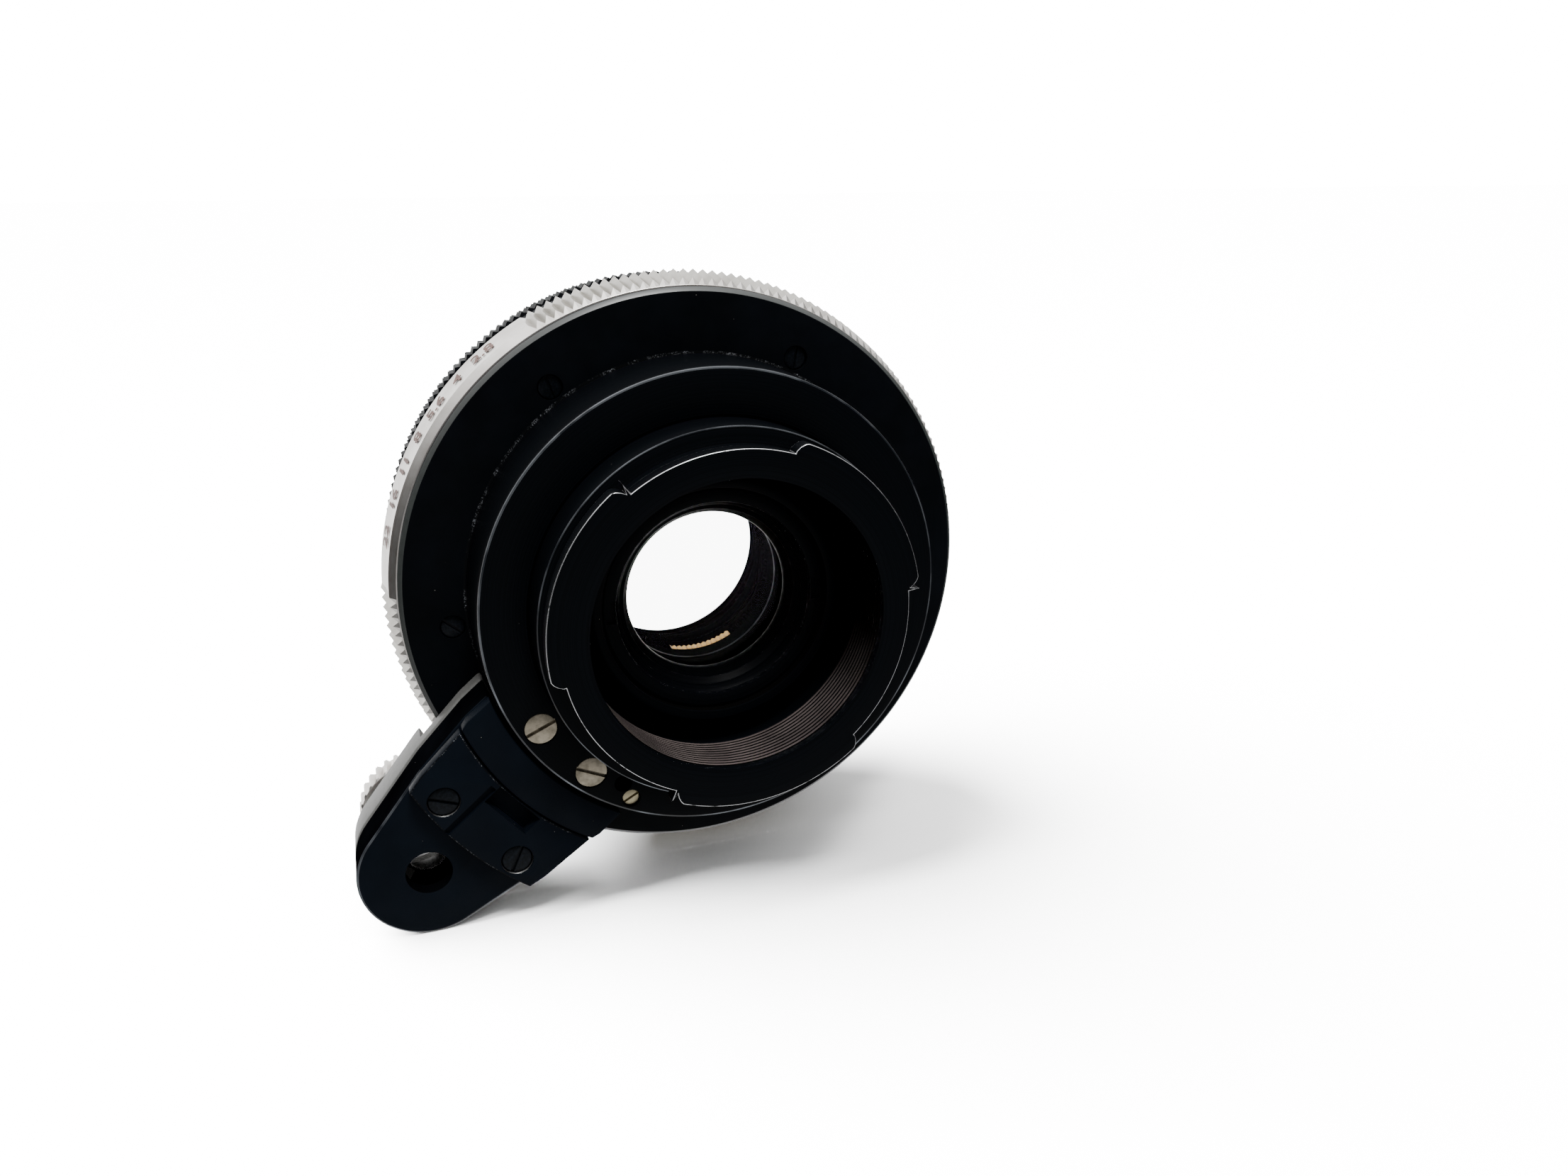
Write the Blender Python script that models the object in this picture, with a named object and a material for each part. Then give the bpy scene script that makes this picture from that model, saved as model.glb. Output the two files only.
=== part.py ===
"""Bayonet-mount camera lens with an external release arm, lying on its side.

The optical axis runs along +Y, from the bayonet (rear) to the filter thread (front).
The lens rests on its aperture ring and on the tip of its release arm, on Z = 0.
Lengths below are in millimetres and are turned into metres when a mesh is made.
"Station" is the distance along the optical axis from the rear face of the lugs.
"Bearing" is the angle round the axis from straight down, clockwise seen from behind.
"""
import math

import bmesh
import bpy
from mathutils import Matrix, Vector

MM = 0.001
GAP = 0.3                      # clearance between neighbouring pieces

# Driving dimensions of the body
LUG_RADIUS = 19.0              # three-lug bayonet, 38 mm across the lugs
LUG_THICKNESS = 1.8
LUG_BEARINGS = (-128.7, -8.7, 111.3)
LUG_SPAN = 66.0
NECK_RADIUS = 17.6
SHOULDER_RADIUS = 19.35
SHOULDER_STATION = 3.2
THROAT_RADIUS = 14.8
BOSS_RADIUS = 24.3
BOSS_STATION = 7.9
FLANGE_RADIUS = 31.2
FLANGE_STATION = 16.7
RING_RADIUS = 33.0             # aperture ring, the widest turned piece
RING_START, RING_END = 17.7, 23.0
FOCUS_RADIUS = 32.0
FOCUS_START, FOCUS_END = 25.7, 35.2
BEZEL_RADIUS = 27.5
FRONT_STATION = 40.0
FILTER_RADIUS = 25.5

# Release arm
ARM_BEARING = 50.5
ARM_HOLE = 40.7                # distance of the plunger's axis from the optical axis
ARM_TIP_RADIUS = 7.1
ARM_REAR, ARM_SPLIT, ARM_FRONT = 9.8, 14.4, 19.2
BUTTON_RADIUS = 6.5
BUTTON_START, BUTTON_END = 23.0, 27.0
PLUNGER_RADIUS = 2.1
LEVER_PIVOT = (30.5, 4.6)      # along and across the arm

# Iris
BLADES = 6
BLADE_PIVOT_RADIUS = 15.4
BLADE_THICKNESS = 0.2
BLADE_PITCH = 0.4
BLADE_FIRST_STATION = 22.4
BLADE_BAND = (9.7, 14.6)
BLADE_SWEEP = 150.0

# Where the lens lies: the arm's tip and the aperture ring both touch the floor
AXIS_HEIGHT = RING_RADIUS
TIP_REACH = ARM_HOLE * math.sin(math.radians(ARM_BEARING)) + ARM_TIP_RADIUS
AXIS_X = (TIP_REACH - RING_RADIUS) / 2
REAR_Y = -FRONT_STATION / 2
ORIGIN = Vector((AXIS_X, REAR_Y, AXIS_HEIGHT))

ROUND = 48                     # segments of the large turned pieces
INNER = 32                     # segments of the pieces inside the barrel
SMALL = 10                     # segments of screws and pins


def bearing_direction(bearing):
    """Unit vector that points from the axis at a bearing."""
    angle = math.radians(bearing)
    return Vector((-math.sin(angle), 0.0, -math.cos(angle)))


def polar(radius, bearing, station=0.0):
    """Point at a radius, bearing and station, relative to the rear face's centre."""
    return bearing_direction(bearing) * radius + Vector((0.0, station, 0.0))


def arm_point(along, across, station=0.0):
    """Point in the arm's own frame: along it, across it, and along the optical axis."""
    side = bearing_direction(ARM_BEARING + 90.0)
    return bearing_direction(ARM_BEARING) * along + side * across + Vector((0.0, station, 0.0))


def make_material(name, hex_colour, metallic, roughness):
    """Principled material from an sRGB hex colour."""
    channels = [int(hex_colour[i:i + 2], 16) / 255 for i in (1, 3, 5)]
    linear = [c / 12.92 if c <= 0.04045 else ((c + 0.055) / 1.055) ** 2.4 for c in channels]
    material = bpy.data.materials.new(name)
    material.use_nodes = True
    shader = material.node_tree.nodes["Principled BSDF"]
    shader.inputs["Base Color"].default_value = (*linear, 1.0)
    shader.inputs["Metallic"].default_value = metallic
    shader.inputs["Roughness"].default_value = roughness
    return material


def add_group(name, position):
    """Empty on a joint's axis that carries the pieces of one moving body."""
    empty = bpy.data.objects.new(name, None)
    empty.location = (ORIGIN + position) * MM
    bpy.context.scene.collection.objects.link(empty)
    return empty


def add_piece(name, shape, material, parent):
    """Object from a bmesh in millimetres, in its parent's frame."""
    bmesh.ops.recalc_face_normals(shape, faces=shape.faces)
    mesh = bpy.data.meshes.new(name)
    shape.to_mesh(mesh)
    shape.free()
    mesh.transform(Matrix.Scale(MM, 4))
    mesh.shade_smooth()
    mesh.set_sharp_from_angle(angle=math.radians(35))
    piece = bpy.data.objects.new(name, mesh)
    if material is not None:
        mesh.materials.append(material)
    piece.parent = parent
    bpy.context.scene.collection.objects.link(piece)
    return piece


def add_turned(shape, profile, segments, centre=Vector()):
    """Turn a closed profile of (radius, station) points about the Y axis through centre.

    Radii are apothems: each facet touches the stated radius, and one faces straight down.
    """
    half = math.pi / segments
    start = Matrix.Rotation(half, 4, "Y")
    outline = []
    for radius, station in profile:
        point = start @ Vector((0.0, station, -radius / math.cos(half)))
        outline.append(shape.verts.new(point + centre))
    edges = [shape.edges.new((outline[i - 1], outline[i])) for i in range(len(outline))]
    before = set(shape.verts)
    bmesh.ops.spin(shape, geom=outline + edges, cent=centre, axis=(0, 1, 0),
                   angle=2 * math.pi, steps=segments, use_merge=True)
    made = [v for v in shape.verts if v not in before] + outline
    bmesh.ops.remove_doubles(shape, verts=[v for v in made if v.is_valid], dist=1e-4)
    bmesh.ops.dissolve_degenerate(shape, edges=shape.edges[:], dist=1e-5)
    for edge in [e for e in shape.edges if not e.link_faces]:
        shape.edges.remove(edge)


def turned(name, profile, material, parent, segments=ROUND, centre=Vector()):
    """Turned piece on the optical axis, or round another centre."""
    shape = bmesh.new()
    add_turned(shape, profile, segments, centre)
    return add_piece(name, shape, material, parent)


def add_prism(shape, outline, start, end):
    """Extrude a flat outline of points from one station to another."""
    rear = [shape.verts.new(Vector((p.x, start, p.z))) for p in outline]
    face = shape.faces.new(rear)
    moved = bmesh.ops.extrude_face_region(shape, geom=[face])["geom"]
    front = [v for v in moved if isinstance(v, bmesh.types.BMVert)]
    bmesh.ops.translate(shape, verts=front, vec=(0.0, end - start, 0.0))


def prism(name, outline, start, end, material, parent):
    """Flat piece cut to an outline."""
    shape = bmesh.new()
    add_prism(shape, outline, start, end)
    return add_piece(name, shape, material, parent)


def arc(radius, first, last, steps):
    """Points along an arc about the optical axis."""
    return [polar(radius, first + (last - first) * i / steps) for i in range(steps + 1)]


def boolean(piece, shape, name, operation="DIFFERENCE"):
    """Cut a shape from a piece, or join it to the piece."""
    tool = add_piece(name, shape, None, piece.parent)
    tool.hide_render = True
    tool.display_type = "WIRE"
    modifier = piece.modifiers.new(name, "BOOLEAN")
    modifier.object = tool
    modifier.operation = operation
    modifier.solver = "EXACT"


def screw_profile(head_radius, head_height, shank_radius, shank_length, station, gap=0.0):
    """Cheese-head screw's outline; a gap turns it into the outline of its hole."""
    seat = station + head_height + gap
    tip = station + head_height + shank_length + gap
    face = station - 4 * gap
    return [(0, face), (head_radius + gap, face), (head_radius + gap, seat),
            (shank_radius + gap, seat), (shank_radius + gap, tip), (0, tip)]


def add_screw(name, centre, station, size, slot_angle, material, parent):
    """Slotted screw whose head faces the rear."""
    piece = turned(name, screw_profile(*size, station), material, parent, SMALL, centre)
    head_radius, head_height = size[:2]
    slot = bmesh.new()
    bmesh.ops.create_cube(slot, size=1.0)
    bmesh.ops.scale(slot, verts=slot.verts, vec=(4 * head_radius, head_height, 0.16 * head_radius + 0.2))
    bmesh.ops.rotate(slot, verts=slot.verts, cent=(0, 0, 0),
                     matrix=Matrix.Rotation(math.radians(slot_angle), 3, "Y"))
    bmesh.ops.translate(slot, verts=slot.verts, vec=centre + Vector((0.0, station, 0.0)))
    boolean(piece, slot, name + "_slot_cutter")


def cut_screw_holes(piece, centres, station, size, name):
    """Stepped holes for a set of screws, 0.2 mm larger all round."""
    holes = bmesh.new()
    for centre in centres:
        add_turned(holes, screw_profile(*size, station, 0.2), SMALL, centre)
    boolean(piece, holes, name)


def build_mount(parent, black, nickel, brass):
    """Bayonet, throat baffle, boss and rear flange, with their screws."""
    mount = turned("bayonet_mount", [
        (16.2, 0.0), (LUG_RADIUS, 0.0), (LUG_RADIUS, LUG_THICKNESS), (NECK_RADIUS, LUG_THICKNESS),
        (NECK_RADIUS, SHOULDER_STATION), (SHOULDER_RADIUS, SHOULDER_STATION),
        (SHOULDER_RADIUS, 14.0), (16.2, 14.0)], black, parent)
    gaps = bmesh.new()
    for bearing in LUG_BEARINGS:
        first = bearing + LUG_SPAN / 2
        last = bearing + 120.0 - LUG_SPAN / 2
        ring = arc(NECK_RADIUS + 0.15, first, last, 6) + arc(LUG_RADIUS + 2, last, first, 6)
        add_prism(gaps, ring, -1.0, LUG_THICKNESS + 0.4)
    boolean(mount, gaps, "lug_gap_cutter")

    turned("throat_baffle", [(THROAT_RADIUS, 0.1), (15.9, 0.1), (15.9, 7.6), (15.3, 7.6)],
           black, parent)

    boss = turned("mount_boss", [
        (SHOULDER_RADIUS + GAP, BOSS_STATION), (BOSS_RADIUS - 0.4, BOSS_STATION),
        (BOSS_RADIUS, BOSS_STATION + 0.4), (24.6, FLANGE_STATION - GAP),
        (SHOULDER_RADIUS + GAP, FLANGE_STATION - GAP)], black, parent)
    mount_screws = {"mount_screw_1": (polar(22.0, 60.3), 24.0), "mount_screw_2": (polar(22.0, 40.7), -25.0)}
    mount_size = (1.65, 0.9, 0.8, 4.0)
    cut_screw_holes(boss, [c for c, _ in mount_screws.values()], BOSS_STATION + 0.1, mount_size,
                    "mount_screw_holes")
    for name, (centre, angle) in mount_screws.items():
        add_screw(name, centre, BOSS_STATION + 0.1, mount_size, angle, nickel, parent)
    lock_size = (0.9, 0.7, 0.5, 3.0)
    lock_centre = polar(22.9, 26.8)
    cut_screw_holes(boss, [lock_centre], BOSS_STATION + 0.3, lock_size, "lock_screw_hole")
    add_screw("lock_screw", lock_centre, BOSS_STATION + 0.3, lock_size, 20.0, brass, parent)

    flange = turned("rear_flange", [
        (19.3, FLANGE_STATION), (FLANGE_RADIUS - 0.3, FLANGE_STATION),
        (FLANGE_RADIUS, FLANGE_STATION + 0.3), (FLANGE_RADIUS, RING_START - GAP),
        (28.2, RING_START - GAP), (28.2, 18.2), (19.3, 18.2)], black, parent)
    flange_size = (1.2, 0.5, 0.6, 2.4)
    bearings = (85.5, 146.8, 206.8, 266.8, 326.8)
    centres = [polar(26.2, bearing) for bearing in bearings]
    cut_screw_holes(flange, centres, FLANGE_STATION + 0.3, flange_size, "flange_screw_holes")
    for number, centre in enumerate(centres, 1):
        add_screw(f"flange_screw_{number}", centre, FLANGE_STATION + 0.3, flange_size,
                  25.0 * number, black, parent)
    return centres, flange_size


def build_barrel(parent, black, steel, brass, flange_screws, flange_size):
    """Fixed barrel with its index ring, focusing key and click ball."""
    barrel = turned("main_barrel", [
        (25.5, 18.5), (28.2, 18.5), (28.2, 32.9), (25.5, 32.9)], black, parent)
    cut_screw_holes(barrel, flange_screws, FLANGE_STATION + 0.3, flange_size, "barrel_screw_holes")
    pocket = bmesh.new()
    pocket_centre = polar(27.6, 180.0, 20.4)
    bmesh.ops.create_icosphere(pocket, subdivisions=1, radius=1.3,
                               matrix=Matrix.Translation(pocket_centre))
    boolean(barrel, pocket, "click_pocket_cutter")
    ball = bmesh.new()
    bmesh.ops.create_icosphere(ball, subdivisions=2, radius=0.7,
                               matrix=Matrix.Translation(pocket_centre))
    add_piece("click_ball", ball, steel, parent)
    turned("index_ring", [(28.6, 23.4), (30.7, 23.4), (30.9, 23.6), (30.9, 25.4), (28.6, 25.4)],
           black, parent)
    key_outline = [polar(19.6, 176.5), polar(21.8, 176.8), polar(21.8, 183.2), polar(19.6, 183.5)]
    prism("focus_key", key_outline, 18.5, 27.5, brass, parent)


def build_aperture_ring(parent, silver):
    """Silver ring that sets the f-stop."""
    turned("aperture_ring", [
        (28.7, RING_START + 0.8), (29.4, RING_START), (31.3, RING_START), (RING_RADIUS, 19.2),
        (RING_RADIUS, RING_END - 0.3), (RING_RADIUS - 0.3, RING_END), (28.7, RING_END)],
        silver, parent)


def build_focus_ring(parent, black, brass):
    """Focusing grip on its brass helicoid sleeve, fixed by three set screws."""
    grip = turned("focus_ring", [
        (28.7, FOCUS_START), (FOCUS_RADIUS - 0.4, FOCUS_START), (FOCUS_RADIUS, FOCUS_START + 0.4),
        (FOCUS_RADIUS, 31.3), (31.5, 31.8), (31.5, FOCUS_END - 0.4), (31.1, FOCUS_END),
        (28.7, FOCUS_END)], black, parent)
    turned("helicoid_sleeve", [
        (22.6, 19.5), (25.2, 19.5), (25.2, 33.2), (28.4, 33.2), (28.4, 34.6), (22.6, 34.6)],
        brass, parent)
    holes = bmesh.new()
    for number in range(3):
        bearing = 30.0 + 120.0 * number
        turn = Matrix.Rotation(math.radians(bearing), 4, "Y") @ Matrix.Rotation(math.radians(180), 4, "X")
        place = Matrix.Translation((0, 33.9, 0))
        screw = bmesh.new()
        bmesh.ops.create_cone(screw, cap_ends=True, segments=8, radius1=0.55, radius2=0.55, depth=1.6,
                              matrix=place @ turn @ Matrix.Translation((0, 0, 30.0)))
        add_piece(f"focus_set_screw_{number + 1}", screw, brass, parent)
        bmesh.ops.create_cone(holes, cap_ends=True, segments=8, radius1=0.8, radius2=0.8, depth=4.4,
                              matrix=place @ turn @ Matrix.Translation((0, 0, 31.0)))
    boolean(grip, holes, "set_screw_holes")


def lens_profile(edge_radius, rear_edge, front_edge, rear_bulge, front_bulge, rings=3):
    """Outline of a lens element; a positive bulge stands out of the glass, a negative one dips."""
    steps = [i / rings for i in range(rings + 1)]
    rear = [(edge_radius * t, rear_edge - rear_bulge * (1 - t * t)) for t in steps]
    front = [(edge_radius * t, front_edge + front_bulge * (1 - t * t)) for t in reversed(steps)]
    return rear + front


def build_optics(parent, black, glass, brass):
    """Barrel that slides on focusing, its two cells, the glass and the iris housing."""
    slider = turned("optics_barrel", [
        (17.1, 19.2), (22.3, 19.2), (22.3, 34.3), (20.4, 34.3), (20.4, 28.6), (17.1, 28.6)],
        black, parent)
    groove = bmesh.new()
    add_prism(groove, [polar(18.9, 175.4), polar(24.0, 175.4), polar(24.0, 184.6), polar(18.9, 184.6)],
              10.0, 28.5)
    boolean(slider, groove, "key_groove_cutter")

    turned("rear_cell", [
        (12.1, 8.4), (13.1, 8.4), (13.1, 19.0), (16.7, 19.0), (16.7, 20.6), (9.1, 20.6),
        (9.1, 18.6), (12.1, 18.6)], black, parent, INNER)
    turned("rear_retaining_ring", [(10.4, 9.2), (11.8, 9.2), (11.8, 13.0), (8.65, 13.0)],
           black, parent, INNER)
    turned("fourth_element", lens_profile(11.7, 13.3, 14.6, -0.0, 1.2), glass, parent, INNER)
    turned("third_element", lens_profile(11.7, 14.9, 18.3, -1.2, -0.9), glass, parent, INNER)

    base = turned("iris_base", [(9.3, 20.9), (16.7, 20.9), (16.7, 22.1), (9.3, 22.1)],
                  black, parent, INNER)
    pivots = bmesh.new()
    for number in range(BLADES):
        centre = polar(BLADE_PIVOT_RADIUS, blade_bearing(number))
        add_turned(pivots, [(0, 20), (0.75, 20), (0.75, 23), (0, 23)], 8, centre)
    boolean(base, pivots, "iris_pivot_holes")

    turned("front_cell", [
        (10.4, 26.6), (16.7, 26.6), (16.7, 28.2), (13.8, 28.2), (15.2, 31.0), (15.2, 33.4),
        (12.8, 33.4), (12.8, 27.8), (10.4, 27.8)], black, parent, INNER)
    turned("second_element", lens_profile(12.4, 28.1, 29.9, -0.7, -0.8), glass, parent, INNER)
    turned("element_spacer", [(11.3, 30.2), (12.4, 30.2), (12.4, 30.9), (11.3, 30.9)],
           brass, parent, INNER)
    turned("front_element", lens_profile(12.4, 31.2, 32.9, -0.5, 1.6), glass, parent, INNER)
    turned("front_retaining_ring", [(12.1, 33.7), (15.1, 33.7), (15.1, 35.0), (12.9, 35.0)],
           black, parent, INNER)
    turned("filter_ring", [
        (15.3, 35.0), (BEZEL_RADIUS, 35.0), (BEZEL_RADIUS, FRONT_STATION - 0.4),
        (BEZEL_RADIUS - 0.4, FRONT_STATION), (FILTER_RADIUS, FRONT_STATION), (FILTER_RADIUS, 37.2),
        (15.3, 35.8)], black, parent)


def blade_bearing(number):
    """Bearing of a blade's pivot."""
    return 360.0 * number / BLADES


def build_iris(optics, black, steel):
    """Blades, each on its own pivot and at its own level, and the ring that drives them."""
    first, last = 9.0, BLADE_SWEEP
    inner, outer = BLADE_BAND
    head = [(-0.5, 5.8), (0.9, 3.7), (1.3, 0.0), (0.9, -3.7), (-0.5, -5.8)]
    pivot = polar(BLADE_PIVOT_RADIUS, 0.0)
    outline = arc(outer, first, last - 4, 10) + arc(inner, last, -6.0, 12)
    outline += [polar(BLADE_PIVOT_RADIUS + reach, bearing) for reach, bearing in reversed(head)]
    outline = [p - pivot for p in outline]
    for number in range(BLADES):
        bearing = blade_bearing(number)
        holder = add_group(f"blade_pivot_{number + 1}", polar(BLADE_PIVOT_RADIUS, bearing))
        holder.rotation_euler = (0.0, math.radians(bearing), 0.0)
        start = BLADE_FIRST_STATION + BLADE_PITCH * number
        blade = prism(f"iris_blade_{number + 1}", outline, start, start + BLADE_THICKNESS, steel, holder)
        pin = bmesh.new()
        add_turned(pin, [(0, 21.2), (0.45, 21.2), (0.45, start + 0.1), (0, start + 0.1)], 8)
        boolean(blade, pin, f"blade_pin_{number + 1}", "UNION")
    drive = add_group("iris_drive_axis", Vector())
    ring = turned("iris_drive_ring", [(10.0, 25.2), (16.6, 25.2), (16.6, 26.2), (10.0, 26.2)],
                  steel, drive, INNER)
    slots = bmesh.new()
    for number in range(BLADES):
        bearing = blade_bearing(number) + 12.0
        slot = [polar(12.0, bearing - 3), polar(15.8, bearing - 3), polar(15.8, bearing + 3),
                polar(12.0, bearing + 3)]
        add_prism(slots, slot, 24.8, 26.6)
    boolean(ring, slots, "drive_slot_cutter")


def arm_outline(inset, inner_radius):
    """Outline of the release arm, drawn in by an inset; it ends in a round tip."""
    tip = ARM_TIP_RADIUS - inset
    lean = math.degrees(math.asin((8.6 - ARM_TIP_RADIUS) / 7.0))
    half_root = 9.7 - inset
    swing = math.degrees(math.asin(half_root / inner_radius))
    root = [polar(inner_radius, ARM_BEARING + swing * (1 - i / 3)) for i in range(7)]
    right = [arm_point(26.0, -half_root), arm_point(33.0, -(8.9 - inset))]
    turn = [90.0 - lean - (180.0 - 2 * lean) * i / 14 for i in range(15)]
    end = [arm_point(ARM_HOLE + tip * math.cos(math.radians(t)), tip * math.sin(math.radians(t)))
           for t in reversed(turn)]
    left = [arm_point(33.0, 8.9 - inset), arm_point(26.0, half_root)]
    return root + right + end + left


def build_arm(parent, black, grey, steel):
    """Hollow release arm: rear shell, cover plate, front shell, screws and lever pin."""
    shell = prism("arm_body", arm_outline(0.0, 24.9), ARM_REAR, ARM_SPLIT, black, parent)
    hollow = bmesh.new()
    add_prism(hollow, arm_outline(1.5, 26.4), ARM_REAR + 1.6, ARM_SPLIT + 1)
    boolean(shell, hollow, "arm_hollow_cutter")
    hole = bmesh.new()
    plunger_centre = arm_point(ARM_HOLE, 0.0)
    add_turned(hole, [(0, 8), (2.4, 8), (2.4, 13), (0, 13)], 16, plunger_centre)
    boolean(shell, hole, "plunger_hole_cutter")

    sides = math.degrees(math.asin(9.7 / 24.9))
    outer = math.degrees(math.asin(8.5 / 36.0))
    plate = arc(24.9, ARM_BEARING + sides, ARM_BEARING - sides, 6)
    plate += [arm_point(26.0, -9.7), arm_point(33.0, -8.9)]
    plate += arc(36.0, ARM_BEARING - outer, ARM_BEARING + outer, 6)
    plate += [arm_point(33.0, 8.9), arm_point(26.0, 9.7)]
    cover = prism("arm_cover_plate", plate, 8.0, ARM_REAR - GAP, black, parent)
    slot = bmesh.new()
    add_prism(slot, [arm_point(29.2, -3.6), arm_point(30.8, -3.6), arm_point(30.8, 2.2),
                     arm_point(29.2, 2.2)], 7.0, 11.0)
    boolean(cover, slot, "cover_slot_cutter")
    size = (1.5, 0.7, 0.7, 2.0)
    centres = [polar(34.0, ARM_BEARING + 8.8), polar(34.0, ARM_BEARING - 8.8)]
    cut_screw_holes(cover, centres, 8.3, size, "cover_screw_holes")
    cut_screw_holes(shell, centres, 8.3, size, "shell_screw_holes")
    for number, centre in enumerate(centres, 1):
        add_screw(f"cover_screw_{number}", centre, 8.3, size, 40.0 * number, black, parent)

    front = prism("arm_front_shell", arm_outline(0.0, 24.9), ARM_SPLIT + GAP, ARM_FRONT, grey, parent)
    relief = bmesh.new()
    add_turned(relief, [(0, FLANGE_STATION - GAP), (RING_RADIUS + 0.5, FLANGE_STATION - GAP),
                        (RING_RADIUS + 0.5, 30), (0, 30)], ROUND)
    boolean(front, relief, "ring_relief_cutter")
    bore = bmesh.new()
    add_turned(bore, [(0, 10), (2.6, 10), (2.6, 15.6), (4.2, 15.6), (4.2, 25), (0, 25)], 16,
               plunger_centre)
    boolean(front, bore, "button_bore_cutter")

    turned("lever_pin", [(0, 11.7), (0.6, 11.7), (0.6, 14.2), (0, 14.2)], steel, parent, SMALL,
           arm_point(*LEVER_PIVOT))


def build_release(silver, steel):
    """Serrated button, plunger, return spring and the lever that the plunger works."""
    axis = add_group("release_axis", arm_point(ARM_HOLE, 0.0))
    turned("release_button", [
        (2.4, 21.5), (3.8, 21.5), (3.8, BUTTON_START), (BUTTON_RADIUS, BUTTON_START),
        (BUTTON_RADIUS, BUTTON_END - 0.8), (BUTTON_RADIUS - 0.8, BUTTON_END), (0, BUTTON_END),
        (0, 25.0), (2.4, 25.0)], silver, axis, 24)
    turned("release_plunger", [
        (0, 13.2), (PLUNGER_RADIUS, 13.2), (PLUNGER_RADIUS, 24.7), (0, 24.7)], steel, axis, 16)

    seat = add_group("spring_axis", arm_point(ARM_HOLE, 0.0))
    add_piece("return_spring", coil_shape(3.2, 0.22, 16.0, 21.2, 4), steel, seat)

    pivot = arm_point(*LEVER_PIVOT)
    lever_axis = add_group("release_lever_axis", pivot)
    points = [(29.3, 6.1), (28.6, 4.2), (28.8, -3.0), (30.2, -3.0), (31.0, 2.4), (36.8, 0.8),
              (37.4, 1.6), (36.8, 2.4), (31.8, 6.1)]
    outline = [arm_point(along, across) - pivot for along, across in points]
    lever = prism("release_lever", outline, 12.2, 13.4, steel, lever_axis)
    eye = bmesh.new()
    add_turned(eye, [(0, 11), (0.9, 11), (0.9, 15), (0, 15)], SMALL)
    boolean(lever, eye, "lever_eye_cutter")


def coil_shape(radius, wire, start, end, turns):
    """Compression spring as a round wire swept along a helix."""
    shape = bmesh.new()
    steps, sides = 12 * turns, 5
    rows = []
    for step in range(steps + 1):
        angle = 2 * math.pi * turns * step / steps
        station = start + (end - start) * step / steps
        outward = Vector((math.cos(angle), 0.0, math.sin(angle)))
        centre = outward * radius + Vector((0.0, station, 0.0))
        row = []
        for side in range(sides):
            turn = 2 * math.pi * side / sides
            offset = outward * math.cos(turn) + Vector((0.0, math.sin(turn), 0.0))
            row.append(shape.verts.new(centre + offset * wire))
        rows.append(row)
    for first, second in zip(rows, rows[1:]):
        for side in range(sides):
            shape.faces.new((first[side - 1], first[side], second[side], second[side - 1]))
    shape.faces.new(rows[0])
    shape.faces.new(reversed(rows[-1]))
    return shape


def build_lens():
    """Clear the scene and build every piece."""
    for thing in list(bpy.data.objects):
        bpy.data.objects.remove(thing, do_unlink=True)
    black = make_material("black_anodised", "#15181c", 0.3, 0.45)
    silver = make_material("satin_aluminium", "#c9c7c4", 0.9, 0.35)
    grey = make_material("grey_enamel", "#3c4046", 0.3, 0.4)
    steel = make_material("plated_steel", "#9a9da1", 1.0, 0.3)
    nickel = make_material("nickel", "#a39c90", 1.0, 0.32)
    brass = make_material("brass", "#b3904a", 1.0, 0.35)
    glass = make_material("coated_glass", "#dfe6ee", 0.0, 0.03)

    housing = add_group("housing", Vector())
    screws, screw_size = build_mount(housing, black, nickel, brass)
    build_barrel(housing, black, steel, brass, screws, screw_size)
    build_arm(housing, black, grey, steel)
    build_aperture_ring(add_group("aperture_axis", Vector()), silver)
    build_focus_ring(add_group("focus_axis", Vector()), black, brass)
    optics = add_group("optics_axis", Vector())
    build_optics(optics, black, glass, brass)
    build_iris(optics, black, steel)
    build_release(silver, steel)


build_lens()
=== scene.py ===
"""Looks of the bayonet-mount camera lens: fine turned pieces, knurls, numerals, glass and finishes.

Radii and stations are in millimetres. A station is the distance along the optical axis from the
rear face of the lugs, and a bearing is the angle round it from straight down, clockwise from behind.
"""
import math

import bmesh
import bpy
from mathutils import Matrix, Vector


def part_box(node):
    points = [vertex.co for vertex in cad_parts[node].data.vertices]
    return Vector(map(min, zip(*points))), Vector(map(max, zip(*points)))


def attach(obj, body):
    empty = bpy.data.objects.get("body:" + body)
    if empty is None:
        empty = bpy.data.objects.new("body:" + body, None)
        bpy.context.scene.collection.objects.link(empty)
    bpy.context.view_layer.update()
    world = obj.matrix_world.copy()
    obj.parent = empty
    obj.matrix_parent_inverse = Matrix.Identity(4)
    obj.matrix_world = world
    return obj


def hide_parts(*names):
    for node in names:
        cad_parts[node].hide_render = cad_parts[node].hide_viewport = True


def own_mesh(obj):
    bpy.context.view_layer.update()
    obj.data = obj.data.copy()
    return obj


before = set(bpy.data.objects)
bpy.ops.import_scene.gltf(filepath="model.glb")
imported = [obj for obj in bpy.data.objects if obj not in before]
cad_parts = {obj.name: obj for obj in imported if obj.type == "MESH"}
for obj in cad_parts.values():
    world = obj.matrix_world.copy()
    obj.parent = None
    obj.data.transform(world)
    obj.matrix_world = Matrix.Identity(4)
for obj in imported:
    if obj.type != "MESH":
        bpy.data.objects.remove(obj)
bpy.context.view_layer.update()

MM = 0.001
ring_low, ring_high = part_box("aperture_ring")
AXIS = Vector(((ring_low[0] + ring_high[0]) / 2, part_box("bayonet_mount")[0][1],
               (ring_low[2] + ring_high[2]) / 2))
STEPS = 240                       # facets round a visible turned piece
LUG_BEARINGS = (-128.7, -8.7, 111.3)
LUG_HALF = 33.0                   # half of the angle that a lug covers
THROAT_RIBS = 10
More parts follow.
